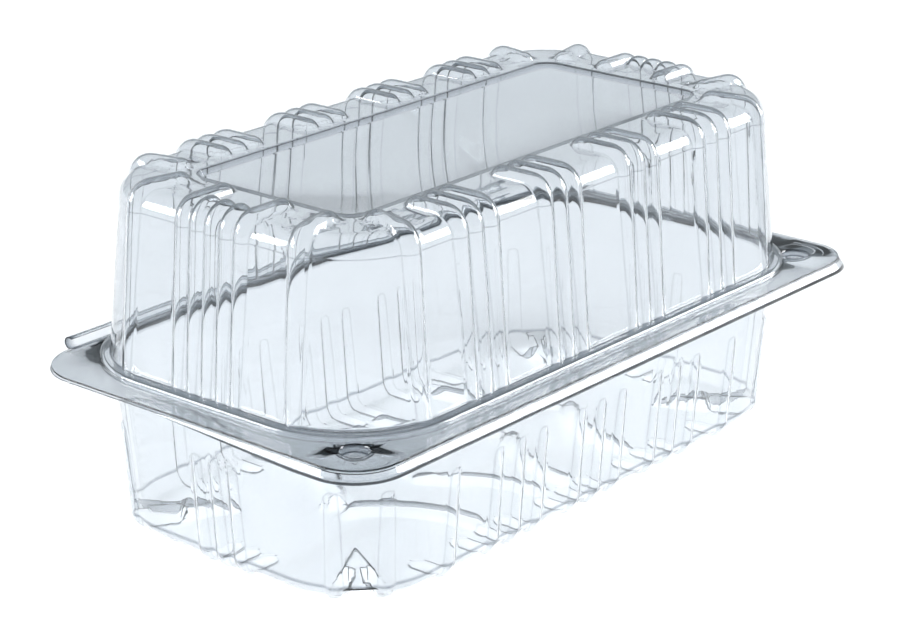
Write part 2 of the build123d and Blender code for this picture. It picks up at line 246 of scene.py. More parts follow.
def flange_outline(grow):
    """The flange's edge, grown outwards, counterclockwise from the front side's right end."""
    pack = bpy.context.scene.pack_sizes
    steps, spacing = 14, 4 * MM
    side = pack.body_x + pack.flange_x + grow
    front, back = pack.body_y + pack.flange_front + grow, pack.body_y + pack.flange_back + grow
    points = []
    for sx, y, radius, start in (
        (1, -front, pack.corner_front + grow, -90), (1, back, pack.corner_back + grow, 0),
        (-1, back, pack.corner_back + grow, 90), (-1, -front, pack.corner_front + grow, 180),
    ):
        centre = Vector((sx * (side - radius), y + radius if y < 0 else y - radius))
        for a in arc_rows(start, start + 90, steps):
            points.append(centre + Vector((math.cos(a), math.sin(a))) * radius)
    even = []
    for a, b in zip(points, points[1:] + points[:1]):
        count = max(1, round((b - a).length / spacing))
        even += [a.lerp(b, i / count) for i in range(count)]
    return even


def arc_rows(start, end, count):
    """Angles from start to end degrees, in radians."""
    return [math.radians(start + (end - start) * i / count) for i in range(count + 1)]


def place_list(count, pitch):
    """Places of a row of like things, about its middle."""
    return [(i - (count - 1) / 2) * pitch for i in range(count)]


def soft_step(value):
    value = min(1.0, max(0.0, value))
    return value * value * (3 - 2 * value)


def wave_rise(tub, x, y):
    """Height of the curved stiffening waves of the bottom at a point."""
    inner_share, flank_share = 0.7, 0.42
    rise = 0.0
    for step, share in ((0.0, 1.0), (tub.wave_step, inner_share)):
        u, v = tub.wave_x - step - abs(x), tub.wave_y - abs(y)
        turn = math.atan2(v, u)
        aside = abs(math.hypot(u, v) - tub.wave_radius)
        past = max(0.0, tub.wave_start - turn, turn - tub.wave_end) * tub.wave_radius
        span = tub.wave_width / 2 - math.hypot(aside, past)
        rise = max(rise, share * tub.wave_height * soft_step(span / (flank_share * tub.wave_width)))
    return rise


def gusset_rise(pack, tub, x, y):
    """Height that the corner gussets lift the bottom by at a point."""
    edge_share = 0.35
    u = abs(x) - (pack.body_x - pack.body_corner)
    v = abs(y) - (pack.body_y - pack.body_corner)
    along = (u + v) / math.sqrt(2) + tub.gusset_reach
    aside = abs(u - v) / math.sqrt(2)
    inside = along * math.tan(tub.gusset_angle) - aside
    return tub.gusset * soft_step(inside / tub.gusset_soft + edge_share) if along > 0 else 0.0


class Shell:
    """A sheet's outer face as a bmesh, with a painted fold shade value and an outward direction per
    vertex.
    """

    def __init__(self):
        self.bm = bmesh.new()
        self.crease = self.bm.verts.layers.float.new("painted_fold_shade")
        self.outward = self.bm.verts.layers.float_vector.new("outward")
        self.kind = self.bm.verts.layers.int.new("rib_kind")
        self.facing = self.bm.verts.layers.float.new("rib_facing")
        self.shift = body_shift()

    def vert(self, x, y, z, out=(0, 0, 1), crease=0.0):
        """A vertex at a place in the body's plan. Its rib kind, -1, says that no rib stands here."""
        v = self.bm.verts.new((x, y + self.shift, z))
        v[self.outward] = out
        v[self.crease] = crease
        v[self.kind] = -1
        return v

    def loop(self, columns, grow, z, lean=(0, 1), crease=0.0):
        """A closed loop round the body's plan. lean is the outward direction, sideways and up."""
        return [
            self.vert(x + grow * nx, y + grow * ny, z, (lean[0] * nx, lean[0] * ny, lean[1]), crease)
            for x, y, nx, ny in columns
        ]

    def flat_loop(self, points, z, out=(0, 0, 1), crease=0.0):
        return [self.vert(p.x, p.y, z, out, crease) for p in points]

    def strip(self, lower, upper):
        """Quads between two loops of one length, facing out where upper lies inside or above."""
        for i in range(len(lower)):
            self.bm.faces.new((lower[i - 1], lower[i], upper[i], upper[i - 1]))

    def strips(self, rows):
        for lower, upper in zip(rows, rows[1:]):
            self.strip(lower, upper)

    def strips_down(self, rows):
        for upper, lower in zip(rows, rows[1:]):
            self.strip(lower, upper)

    def fill(self, *loops):
        """A flat face with holes, between closed loops."""
        edges = []
        for loop in loops:
            for a, b in zip(loop, loop[1:] + loop[:1]):
                edges.append(self.bm.edges.get((a, b)) or self.bm.edges.new((a, b)))
        made = bmesh.ops.triangle_fill(self.bm, edges=edges, use_beauty=True)
        return [f for f in made["geom"] if isinstance(f, bmesh.types.BMFace)]

    def place(self, kind, x, y, facing):
        """A loose point where a rib of this kind stands, for the rib tree."""
        v = self.vert(x, y, 0.0)
        v[self.kind] = kind
        v[self.facing] = facing

    def places_round(self, kinds_long, kinds_short, corner_kind, turn):
        """Rib places on all four sides and the corners: pairs of place and kind for each side."""
        pack = bpy.context.scene.pack_sizes
        radius = pack.body_corner
        arc_x, arc_y = pack.body_x - radius, pack.body_y - radius
        for x, kind in kinds_long:
            self.place(kind, x, -pack.body_y, 0.0)
            self.place(kind, -x, pack.body_y, math.pi)
        for y, kind in kinds_short:
            self.place(kind, pack.body_x, y, math.pi / 2)
            self.place(kind, -pack.body_x, -y, -math.pi / 2)
        for i, (sx, sy) in enumerate(((1, 1), (-1, 1), (-1, -1), (1, -1))):
            for bend in (turn, math.pi / 2 - turn):
                way = math.pi / 2 * i + bend
                self.place(
                    corner_kind, sx * arc_x + radius * math.cos(way),
                    sy * arc_y + radius * math.sin(way), way + math.pi / 2,
                )

    def snaps(self, z, floor_z, mouth, floor):
        """Cups of the corner snaps. Returns the loops round their mouths."""
        pack = bpy.context.scene.pack_sizes
        count = 36
        # each row: radius, height and the strength of the painted dark shade line along it
        rows = [
            (mouth + 0.25 * MM, z, 0.0), (mouth + 0.12 * MM, z, 0.5), (mouth, z - EASE, 0.7),
            (mouth - 0.15 * MM, z - 0.4 * MM, 0.2), (floor + 0.3 * MM, floor_z + 0.2 * MM, 0.3),
            (floor, floor_z, 0.9), (floor - 0.6 * MM, floor_z, 0.0), (floor * 0.5, floor_z, 0.0),
        ]
        mouths = []
        for sx in (-1, 1):
            rings = []
            for radius, height, crease in rows:
                ring = []
                for i in range(count):
                    a = 2 * math.pi * i / count
                    ring.append(self.vert(
                        sx * pack.snap_x + radius * math.cos(a),
                        -pack.snap_y + radius * math.sin(a), height, (0, 0, 1), crease,
                    ))
                rings.append(ring)
            self.strips(rings)
            self.bm.faces.new(rings[-1])
            mouths.append(rings[0])
        return mouths

    def finish(self, name):
        """The shell as an object, its bmesh freed."""
        mesh = bpy.data.meshes.new(name)
        self.bm.to_mesh(mesh)
        self.bm.free()
        obj = bpy.data.objects.new(name, mesh)
        bpy.context.collection.objects.link(obj)
        return obj


# helpers for node trees
def socket(tree, label, kind, default=None, out=False):
    made = tree.interface.new_socket(
        label, in_out="OUTPUT" if out else "INPUT", socket_type="NodeSocket" + kind
    )
    if default is not None:
        made.default_value = default
    return made


def add(tree, kind, **settings):
    node = tree.nodes.new(kind)
    for key, value in settings.items():
        setattr(node, key, value)
    return node


def maths(tree, operation, *values):
    """A Math node on sockets or numbers."""
    node = add(tree, "ShaderNodeMath", operation=operation)
    for slot, value in zip(node.inputs, values):
        if isinstance(value, bpy.types.NodeSocket):
            tree.links.new(value, slot)
        else:
            slot.default_value = value
    return node.outputs[0]


def vector_maths(tree, operation, a, b, result="Vector"):
    node = add(tree, "ShaderNodeVectorMath", operation=operation)
    tree.links.new(a, node.inputs[0])
    tree.links.new(b, node.inputs[1])
    return node.outputs[result]


def named_attribute(tree, name, kind):
    node = add(tree, "GeometryNodeInputNamedAttribute", data_type=kind)
    node.inputs["Name"].default_value = name
    return node.outputs["Attribute"]


def ramp(tree, value, low, high, start=0.0, end=1.0):
    """start where the value is low, end where it is high, and a straight line between."""
    node = add(tree, "ShaderNodeMapRange")
    tree.links.new(value, node.inputs["Value"])
    for label, number in (("From Min", low), ("From Max", high), ("To Min", start), ("To Max", end)):
        node.inputs[label].default_value = number
    return node.outputs[0]


def blend(tree, factor, a, b):
    """A mix of two colours."""
    node = add(tree, "ShaderNodeMix", data_type="RGBA")
    tree.links.new(factor, node.inputs["Factor"])
    node.inputs["A"].default_value = (*a, 1.0)
    node.inputs["B"].default_value = (*b, 1.0)
    return node.outputs["Result"]


# ribs pressed into a shell, as a Geometry Nodes tree
RIB_KINDS = ("Long rib", "End rib", "Short rib")
RIB_POINTS = ("Nose", "Turn", "Tip")


def rib_lines(tree, given):
    """A rib's centre line, nose, turn over the edge and tip, on each place of its kind."""
    link = tree.links.new
    line = add(tree, "GeometryNodeMeshLine", mode="OFFSET")
    line.inputs["Count"].default_value = len(RIB_POINTS)
    pick = add(tree, "GeometryNodeIndexSwitch", data_type="VECTOR")
    pick.index_switch_items.new()
    link(add(tree, "GeometryNodeInputIndex").outputs[0], pick.inputs["Index"])
    for slot, label in enumerate(RIB_POINTS):
        link(given[label], pick.inputs[str(slot)])
    bent = add(tree, "GeometryNodeSetPosition")
    link(line.outputs[0], bent.inputs["Geometry"])
    link(pick.outputs[0], bent.inputs["Position"])
    curve = add(tree, "GeometryNodeMeshToCurve")
    link(bent.outputs[0], curve.inputs[0])
    fillet = add(tree, "GeometryNodeFilletCurve", mode="POLY")
    link(curve.outputs[0], fillet.inputs["Curve"])
    link(given["Bend"], fillet.inputs["Radius"])
    fillet.inputs["Count"].default_value = 8
    wire = add(tree, "GeometryNodeCurveToMesh")
    link(fillet.outputs[0], wire.inputs["Curve"])
    same = add(tree, "FunctionNodeCompare", data_type="INT", operation="EQUAL")
    link(named_attribute(tree, "rib_kind", "INT"), same.inputs[2])
    link(given["Kind"], same.inputs[3])
    turn = add(tree, "ShaderNodeCombineXYZ")
    link(named_attribute(tree, "rib_facing", "FLOAT"), turn.inputs["Z"])
    stand = add(tree, "GeometryNodeInstanceOnPoints")
    link(given["Places"], stand.inputs["Points"])
    link(same.outputs[0], stand.inputs["Selection"])
    link(wire.outputs[0], stand.inputs["Instance"])
    link(turn.outputs[0], stand.inputs["Rotation"])
    whole = add(tree, "GeometryNodeRealizeInstances")
    link(stand.outputs[0], whole.inputs[0])
    return whole.outputs[0]


def rib_height_group():
    """How far a rib of one kind lifts the sheet: ribs stand on the loose points of that kind."""
    tree = bpy.data.node_groups.new("Rib height", "GeometryNodeTree")
    socket(tree, "Places", "Geometry")
    socket(tree, "Kind", "Int", 0)
    for label in RIB_POINTS:
        socket(tree, label, "Vector")
    socket(tree, "Bend", "Float", 4 * MM)
    socket(tree, "Radius", "Float", 3 * MM)
    socket(tree, "Height", "Float", out=True)
    given = add(tree, "NodeGroupInput").outputs
    near = add(tree, "GeometryNodeProximity", target_element="EDGES")
    tree.links.new(rib_lines(tree, given), near.inputs[0])
    # the round section, measured from the nearest point of the line, along the outward direction
    here = add(tree, "GeometryNodeInputPosition").outputs[0]
    away = vector_maths(tree, "SUBTRACT", here, near.outputs["Position"])
    outward = named_attribute(tree, "outward", "FLOAT_VECTOR")
    depth = vector_maths(tree, "DOT_PRODUCT", away, outward, "Value")
    far = vector_maths(tree, "DOT_PRODUCT", away, away, "Value")
    aside = maths(tree, "SUBTRACT", far, maths(tree, "MULTIPLY", depth, depth))
    square = maths(tree, "MULTIPLY", given["Radius"], given["Radius"])
    room = maths(tree, "SUBTRACT", square, aside)
    section = maths(tree, "SQRT", maths(tree, "MAXIMUM", room, 0.0))
    lift = maths(tree, "SUBTRACT", section, depth)
    # outside the section, and where no rib of this kind stands, the lift is far below zero
    inside = maths(tree, "SUBTRACT", lift, maths(tree, "LESS_THAN", room, 0.0))
    missing = maths(tree, "SUBTRACT", 1.0, near.outputs["Is Valid"])
    height = maths(tree, "SUBTRACT", inside, missing)
    tree.links.new(height, add(tree, "NodeGroupOutput").inputs["Height"])
    return tree


def rib_tree(material):
    """Presses the ribs into a shell and takes the loose rib places away."""
    height = rib_height_group()
    tree = bpy.data.node_groups.new("Pressed ribs", "GeometryNodeTree")
    link = tree.links.new
    socket(tree, "Geometry", "Geometry")
    socket(tree, "Softness", "Float", 0.3 * MM)
    for label in RIB_KINDS:
        for part in RIB_POINTS:
            socket(tree, f"{label} {part.lower()}", "Vector")
        socket(tree, f"{label} bend", "Float", 4 * MM)
        socket(tree, f"{label} radius", "Float", 3 * MM)
    socket(tree, "Geometry", "Geometry", out=True)
    given = add(tree, "NodeGroupInput").outputs
    heights = []
    for number, label in enumerate(RIB_KINDS):
        group = add(tree, "GeometryNodeGroup", node_tree=height)
        link(given["Geometry"], group.inputs["Places"])
        group.inputs["Kind"].default_value = number
        for part in (*RIB_POINTS, "Bend", "Radius"):
            link(given[f"{label} {part.lower()}"], group.inputs[part])
        heights.append(group.outputs["Height"])
    highest = maths(tree, "MAXIMUM", maths(tree, "MAXIMUM", *heights[:2]), heights[2])
    soft = maths(tree, "SMOOTH_MAX", highest, 0.0, given["Softness"])
    offset = add(tree, "ShaderNodeVectorMath", operation="SCALE")
    link(named_attribute(tree, "outward", "FLOAT_VECTOR"), offset.inputs[0])
    link(soft, offset.inputs["Scale"])
    store = add(tree, "GeometryNodeStoreNamedAttribute")
    store.inputs["Name"].default_value = "pressed"
    link(given["Geometry"], store.inputs["Geometry"])
    link(soft, store.inputs["Value"])
    moved = add(tree, "GeometryNodeSetPosition")
    link(store.outputs[0], moved.inputs["Geometry"])
    link(offset.outputs[0], moved.inputs["Offset"])
    loose = add(tree, "FunctionNodeCompare", data_type="INT", operation="GREATER_EQUAL")
    link(named_attribute(tree, "rib_kind", "INT"), loose.inputs[2])
    loose.inputs[3].default_value = 0
    clean = add(tree, "GeometryNodeDeleteGeometry")
    link(moved.outputs[0], clean.inputs["Geometry"])
    link(loose.outputs[0], clean.inputs["Selection"])
    whole = add(tree, "GeometryNodeRealizeInstances")
    link(clean.outputs[0], whole.inputs[0])
    finish = add(tree, "GeometryNodeSetMaterial")
    finish.inputs["Material"].default_value = material
    link(whole.outputs[0], finish.inputs["Geometry"])
    link(finish.outputs[0], add(tree, "NodeGroupOutput").inputs[0])
    return tree


def pressed_tree():
    return bpy.data.node_groups.get("Pressed ribs") or rib_tree(sheet_material())


def rib_values(label, nose, turn, tip, bend, radius):
    """The rib tree's values for one kind of rib. Its points are (inwards, up) from its place."""
    return {
        f"{label} nose": (0.0, *nose), f"{label} turn": (0.0, *turn), f"{label} tip": (0.0, *tip),
        f"{label} bend": bend, f"{label} radius": radius,
    }


def press_ribs(obj, values):
    """Runs the rib tree on a shell and keeps its result as a plain mesh."""
    tree = pressed_tree()
    modifier = obj.modifiers.new("Ribs", "NODES")
    modifier.node_group = tree
    sockets = {
        item.name: item.identifier
        for item in tree.interface.items_tree
        if item.item_type == "SOCKET" and item.in_out == "INPUT"
    }
    for label, value in values.items():
        modifier[sockets[label]] = value
    depsgraph = bpy.context.evaluated_depsgraph_get()
    mesh = bpy.data.meshes.new_from_object(obj.evaluated_get(depsgraph))
    obj.modifiers.remove(modifier)
    old, obj.data = obj.data, mesh
    bpy.data.meshes.remove(old)


def smooth_sheet(mesh):
    """Gives a mesh the sheet's material and smooth faces with sharp creases."""
    mesh.materials.clear()
    mesh.materials.append(sheet_material())
    mesh.shade_smooth()
    mesh.set_sharp_from_angle(angle=SHARP_EDGE)


def finish_shell(obj, body, node):
    """Smooths a pressed shell and gives it the sheet's thickness, inwards of its outer face."""
    smooth_sheet(obj.data)
    solid = obj.modifiers.new("Sheet", "SOLIDIFY")
    solid.thickness = bpy.context.scene.pack_sizes.sheet
    solid.offset = -1.0
    solid.use_even_offset = False
    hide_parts(node)
    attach(obj, body)


# materials
def sheet_marks_group():
    """Faint ripples and scuffed patches that thermoforming leaves in a clear sheet."""
    tree = bpy.data.node_groups.new("Sheet marks", "ShaderNodeTree")
    socket(tree, "Coordinate", "Vector")
    socket(tree, "Ripple scale", "Float", 60.0)
    socket(tree, "Cloud scale", "Float", 18.0)
    socket(tree, "Ripple", "Float", out=True)
    socket(tree, "Cloud", "Float", out=True)
    given = add(tree, "NodeGroupInput").outputs
    out = add(tree, "NodeGroupOutput").inputs
    for label in ("Ripple", "Cloud"):
        noise = add(tree, "ShaderNodeTexNoise")
        noise.inputs["Detail"].default_value = 0.0
        tree.links.new(given["Coordinate"], noise.inputs["Vector"])
        tree.links.new(given[f"{label} scale"], noise.inputs["Scale"])
        tree.links.new(noise.outputs["Fac"], out[label])
    return tree


def clear_sheet():
    """Clear glossy sheet: it lets light through, with shade painted as dark lines along its creases."""
    finish = bpy.context.scene.pack_finish
    # strength of the painted shade line along rib outlines, and how far each face stops a shadow ray
    rib_outline_shade, shadow_density = 0.16, 0.05
    material = bpy.data.materials.new("formed_sheet")
    material.use_nodes = True
    tree = material.node_tree
    link = tree.links.new
    surface = tree.nodes["Principled BSDF"].inputs
    surface["IOR"].default_value = 1.45
    surface["Metallic"].default_value = 0.0
    surface["Transmission Weight"].default_value = 1.0
    marks = add(tree, "ShaderNodeGroup", node_tree=sheet_marks_group())
    link(add(tree, "ShaderNodeTexCoord").outputs["Object"], marks.inputs["Coordinate"])
    # painted shade: a thin dark line is painted along each fold, and a fainter one along each rib's
    # outline
    crease = add(tree, "ShaderNodeAttribute", attribute_name="painted_fold_shade").outputs["Fac"]
    pressed = add(tree, "ShaderNodeAttribute", attribute_name="pressed").outputs["Fac"]
    rising = ramp(tree, pressed, 0.06 * MM, 0.16 * MM)
    falling = ramp(tree, pressed, 0.45 * MM, 0.2 * MM)
    outline = maths(tree, "MULTIPLY", maths(tree, "MULTIPLY", rising, falling), rib_outline_shade)
    line = maths(tree, "MAXIMUM", crease, outline)
    link(blend(tree, line, finish.clear, finish.edge), surface["Base Color"])
    # shadows are those of a clear sheet, not of a solid one
    shadow = add(tree, "ShaderNodeLightPath").outputs["Is Shadow Ray"]
    link(ramp(tree, shadow, 0.0, 1.0, 1.0, shadow_density), surface["Alpha"])
    link(ramp(tree, marks.outputs["Cloud"], 0.6, 0.8, 0.0, 0.05), surface["Roughness"])
    bump = add(tree, "ShaderNodeBump")
    bump.inputs["Strength"].default_value = 0.06
    bump.inputs["Distance"].default_value = 0.3 * MM
    link(marks.outputs["Ripple"], bump.inputs["Height"])
    link(bump.outputs[0], surface["Normal"])
    return material


def sheet_material():
    return bpy.data.materials.get("formed_sheet") or clear_sheet()


# the lid
def lid_rows(shell, columns, pack, lid):
    """Loops of the lid from its flange, over the bead, up the wall and over the ring to the panel."""
    z_flange = pack.flange_z + pack.nest + pack.sheet
    z_foot = z_flange + pack.rim_step
    z_shoulder = z_foot + lid.wall
    z_ring = z_shoulder + lid.shoulder
    lean = lid.wall * math.tan(lid.draft)
    slope = (math.cos(lid.draft), math.sin(lid.draft))
    # loops with a fold value carry a painted dark shade line: at the bead, the wall's foot, the shoulder
    # line, and the panel's edge and recess
    rows = [
        shell.loop(columns, pack.bead + FOLD_LINE, z_flange),
        shell.loop(columns, pack.bead, z_flange, (0.7, 0.7), FOLD),
        shell.loop(columns, pack.bead, z_flange + pack.sheet, (1, 0)),
    ]
    for a in arc_rows(0, 90, 4):
        rows.append(shell.loop(
            columns, pack.bead - pack.bead_round * (1 - math.cos(a)),
            z_foot - pack.bead_round * (1 - math.sin(a)), (math.cos(a), math.sin(a)),
        ))
    rows.append(shell.loop(columns, 3 * FOLD_LINE, z_foot, (1, 0)))
    rows.append(shell.loop(columns, FOLD_LINE, z_foot, (1, 0), STRONG_FOLD))
    rows.append(shell.loop(columns, 0.0, z_foot + FOLD_LINE, slope, STRONG_FOLD))
    for height in LID_WALL_ROWS:
        run = height * MM * math.tan(lid.draft)
        rows.append(shell.loop(columns, -run, z_foot + height * MM, slope))
    for a in [0.0, math.radians(3)] + arc_rows(8, 90, 11):
        rows.append(shell.loop(
            columns, -lean - lid.shoulder * (1 - math.cos(a)),
            z_shoulder + lid.shoulder * math.sin(a), (math.cos(a), math.sin(a)),
            SOFT_FOLD if a == 0 else 0.0,
        ))
    edge = lean + lid.ring
    reach = lean + lid.shoulder
    coarse, fine, noses = 0.9 * MM, 0.55 * MM, lean + 9 * MM
    while reach < edge - coarse:
        reach += fine if reach > noses else coarse
        rows.append(shell.loop(columns, -min(reach, edge - 0.35 * MM), z_ring))
    foot = edge + lid.recess_run
    rows.append(shell.loop(columns, -edge, z_ring - EASE, crease=FOLD))
    rows.append(shell.loop(columns, -foot, z_ring - lid.recess + EASE, crease=FAINT_FOLD))
    rows.append(shell.loop(columns, -foot - 0.5 * MM, z_ring - lid.recess))
    return rows


def lid_ribs(pack, lid):
    """The rib tree's values for the lid: ribs on the long sides, and long and short ones at the ends."""
    z_foot = pack.flange_z + pack.nest + pack.sheet + pack.rim_step
    top = z_foot + lid.wall + lid.shoulder + lid.rib_rise
    lean = lid.wall * math.tan(lid.draft)
    values = {"Softness": 0.35 * MM}
    for label, radius, nose in (
        ("Long rib", lid.rib_round, lean + lid.ring - lid.nose_gap),
        ("End rib", lid.end_round, lean + lid.ring - lid.nose_gap),
        ("Short rib", lid.end_round, lean + lid.short_nose),
    ):
        tip = radius - lid.flute_foot - lid.flute_run * math.tan(lid.draft)
        values.update(rib_values(
            label, (nose - radius, top - radius), (lean + radius - lid.flute_top, top - radius),
            (tip, z_foot - lid.flute_run), lid.turn - radius, radius,
        ))
    return values


class PACK_OT_lid(bpy.types.Operator):
    """Builds the ribbed lid"""

    bl_idname = "pack.lid"
    bl_label = "Lid"

    def execute(self, context):
        pack, lid = context.scene.pack_sizes, context.scene.lid_sizes
        long_places = [
            group + rib
            for group in place_list(4, lid.group_pitch) for rib in place_list(3, lid.pitch)
        ]
        end_places = place_list(5, lid.end_pitch)
        columns = columns_round(
            long_places, end_places, lid.corner_turn, lid.pitch / 2 + 0.6 * MM, 0.54 * MM
        )
        z_flange = pack.flange_z + pack.nest + pack.sheet
        shell = Shell()
        rows = lid_rows(shell, columns, pack, lid)
        shell.strips(rows)
        panel = shell.fill(rows[-1])
        cups = shell.snaps(
            z_flange, z_flange - pack.snap_depth, pack.snap_mouth, pack.snap_floor
        )
        # the flange's outer edge carries a painted dark shade line
        rim = shell.flat_loop(flange_outline(0.0), z_flange, crease=STRONG_FOLD)
        near = shell.flat_loop(flange_outline(-0.2 * MM), z_flange)
        shell.strip(rim, near)
        plate = shell.fill(near, rows[0], *cups)
        for face in panel + plate:
            face.normal_update()
            if face.normal.z < 0:
                face.normal_flip()
        # at the ends the middle rib and its neighbours are short
        end_kinds = [(y, 1 if abs(y) > 1.5 * lid.end_pitch else 2) for y in end_places]
        shell.places_round([(x, 0) for x in long_places], end_kinds, 0, lid.corner_turn)
        obj = shell.finish("lid_shell")
        press_ribs(obj, lid_ribs(pack, lid))
        finish_shell(obj, "lid", "lid")
        return {"FINISHED"}


# the tub
def tub_rows(shell, columns, pack, tub):
    """Loops of the tub's outer face from its flange, under the bead, down the wall and inwards."""
    under = pack.flange_z - pack.sheet
    top = pack.flange_z + pack.rim_step - pack.sheet
    bead = pack.bead - 2 * pack.sheet - pack.nest
    inner = -tub.inset
    z_edge = tub.foot_drop + tub.edge
    lean = tub.wall * math.tan(tub.draft)
    slope = (math.cos(tub.draft), -math.sin(tub.draft))
    bead_soft, mouth_soft, down = 0.5 * MM, 0.3 * MM, (0, -1)
    # loops with a fold value carry a painted dark shade line: under the bead, at the wall's mouth and
    # where the bottom edge begins
    rows = [
        shell.loop(columns, bead + 0.35 * MM, under, down),
        shell.loop(columns, bead, under, down, FOLD),
        shell.loop(columns, bead, under + pack.sheet, down),
        shell.loop(columns, bead, top - bead_soft, down),
        shell.loop(columns, bead - bead_soft, top, down),
        shell.loop(columns, inner + mouth_soft, top, down),
        shell.loop(columns, inner, top - mouth_soft, (1, 0), STRONG_FOLD),
    ]
    for share in TUB_WALL_ROWS:
        rows.append(shell.loop(
            columns, inner - lean * (1 - share), z_edge + tub.wall * share - EASE, slope
        ))
    for a in arc_rows(0, 90, 9):
        rows.append(shell.loop(
            columns, inner - lean - tub.edge * (1 - math.cos(a)),
            z_edge - tub.edge * math.sin(a), (math.cos(a), -math.sin(a)),
            STRONG_FOLD if a == 0 else 0.0,
        ))
    reach, step = tub.edge, 0.7 * MM
    while reach < tub.edge + tub.foot_reach + 1.2 * MM:
        reach += step
        rows.append(shell.loop(columns, inner - lean - reach, tub.foot_drop, down))
    # the rest of the bottom draws in to a short line along the pack's middle
    half_line, count = pack.body_x - pack.body_y * 0.8, 33
    last = rows[-1]
    for i in range(1, count):
        share = i / count
        row = []
        for v in last:
            x, y = v.co.x, v.co.y - shell.shift
            drawn = x + (min(half_line, max(-half_line, x)) - x) * share
            row.append(shell.vert(drawn, y * (1 - share), tub.foot_drop, (0, 0, -1)))
        rows.append(row)
    return rows


def lift_bottom(shell, rows, pack, tub):
    """Lifts the bottom's gussets and waves."""
    z_panel = tub.foot_drop
    flat = 0.01 * MM
    for row in rows:
        for v in row:
            x, y = v.co.x, v.co.y - shell.shift
            if v.co.z < z_panel + tub.gusset:
                v.co.z = max(v.co.z, z_panel + gusset_rise(pack, tub, x, y))
            if v.co.z < z_panel + flat:
                v.co.z = z_panel + wave_rise(tub, x, y)


def turn_down_lip(shell, rim, pack, tub):
    """The lip along the front, which fades out along the short sides."""
    under = pack.flange_z - pack.sheet
    least, sheet_share = 0.03, 0.8
    reach = tub.lip_drop * math.tan(tub.lip_draft) - sheet_share * pack.sheet
    lips = [rim]
    # the lip's lower edge carries a painted dark shade line
    for share, crease in ((0.5, 0.0), (1.0, SOFT_FOLD)):
        loop = []
        for flat, wide in zip(flange_outline(0.0), flange_outline(reach * share)):
            fade = (tub.lip_start - flat.y) / (tub.lip_start + tub.lip_full)
            fade = min(1.0, max(least, fade))
            point = flat.lerp(wide, fade)
            drop = (tub.lip_drop - pack.sheet) * share * fade
            loop.append(shell.vert(point.x, point.y, under - drop, (0, 0, -1), crease))
        lips.append(loop)
    shell.strips_down(lips)


def tub_feet(pack, tub):
    """The rib tree's values for the tub's feet and the flutes above them."""
    radius, tightest = tub.foot_round, 1 * MM
    lean = tub.wall * math.tan(tub.draft)
    wall_y = tub.inset + lean
    nose = wall_y + tub.edge + tub.foot_reach - radius * 0.85
    tip_y = tub.inset + lean * (pack.flange_z - tub.foot_height) / tub.wall
    values = rib_values(
        RIB_KINDS[0], (nose, radius), (wall_y + radius - tub.foot_flute, radius),
        (tip_y + radius - tub.foot_flute_top, tub.foot_height - radius * 0.6),
        max(tub.foot_bend - radius, tightest), radius,
    )
    values["Softness"] = 0.3 * MM
    return values


class PACK_OT_tub(bpy.types.Operator):
    """Builds the footed tub and its turned-down lip"""

    bl_idname = "pack.tub"
    bl_label = "Tub"

    def execute(self, context):
        pack, tub = context.scene.pack_sizes, context.scene.tub_sizes
        long_places = [
            group + foot
            for group in place_list(3, tub.group_pitch) for foot in place_list(3, tub.pitch)
        ] + [-tub.single, tub.single]
        end_places = place_list(3, tub.end_pitch)
        columns = columns_round(
            long_places, end_places, tub.corner_turn, tub.foot_round + 0.6 * MM, 0.66 * MM
        )
        under = pack.flange_z - pack.sheet
        shell = Shell()
        rows = tub_rows(shell, columns, pack, tub)
        shell.strips_down(rows)
        bottom = shell.fill(rows[-1])
        lift_bottom(shell, rows, pack, tub)
        room = pack.nest + 2 * pack.sheet
        cups = shell.snaps(
            under, under - pack.snap_depth, pack.snap_mouth + room, pack.snap_floor + room
        )
        rim = shell.flat_loop(flange_outline(0.0), under, (0, 0, -1))
        shell.fill(rim, rows[0], *cups)
        turn_down_lip(shell, rim, pack, tub)
        bmesh.ops.recalc_face_normals(shell.bm, faces=shell.bm.faces)
        if max(bottom, key=lambda face: face.calc_area()).normal.z > 0:
            bmesh.ops.reverse_faces(shell.bm, faces=shell.bm.faces)
        shell.places_round(
            [(x, 0) for x in long_places], [(y, 0) for y in end_places], 0, tub.corner_turn
        )
        obj = shell.finish("tub_shell")
        press_ribs(obj, tub_feet(pack, tub))
        finish_shell(obj, "base", "tub")
        return {"FINISHED"}


class PACK_OT_hinge(bpy.types.Operator):
    """Builds the rolled hinge along the tub's back edge"""

    bl_idname = "pack.hinge"
    bl_label = "Hinge roll"

    def execute(self, context):
        pack, tub = context.scene.pack_sizes, context.scene.tub_sizes
        bm = bmesh.new()
        crease = bm.verts.layers.float.new("painted_fold_shade")
        inner, outer = tub.roll - pack.sheet, tub.roll
        angles, ring_count = arc_rows(-90, 125, 22), 60
        section = [(outer * math.cos(a), outer * math.sin(a)) for a in angles]
        section += [(inner * math.cos(a), inner * math.sin(a)) for a in reversed(angles)]
        start = pack.body_y + pack.flange_back - 0.2 * MM + body_shift() - HINGE.y
        section += [(start, -inner), (start, -outer)]
        rings = []
        for x in place_list(ring_count, 2 * tub.roll_half / (ring_count - 1)):
            rings.append([bm.verts.new((x, HINGE.y + y, HINGE.z + z)) for y, z in section])
        # the roll's cut ends carry a painted dark shade line
        for v in rings[0] + rings[-1]:
            v[crease] = CUT_EDGE
        for a, b in zip(rings, rings[1:]):
            for i in range(len(section)):
                bm.faces.new((a[i - 1], a[i], b[i], b[i - 1]))
        bm.faces.new(rings[0])
        bm.faces.new(rings[-1])
        bmesh.ops.recalc_face_normals(bm, faces=bm.faces)
        mesh = bpy.data.meshes.new("hinge_roll")
        bm.to_mesh(mesh)
        bm.free()
        smooth_sheet(mesh)
        obj = bpy.data.objects.new("hinge_roll", mesh)
        context.collection.objects.link(obj)
        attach(obj, "base")
        return {"FINISHED"}


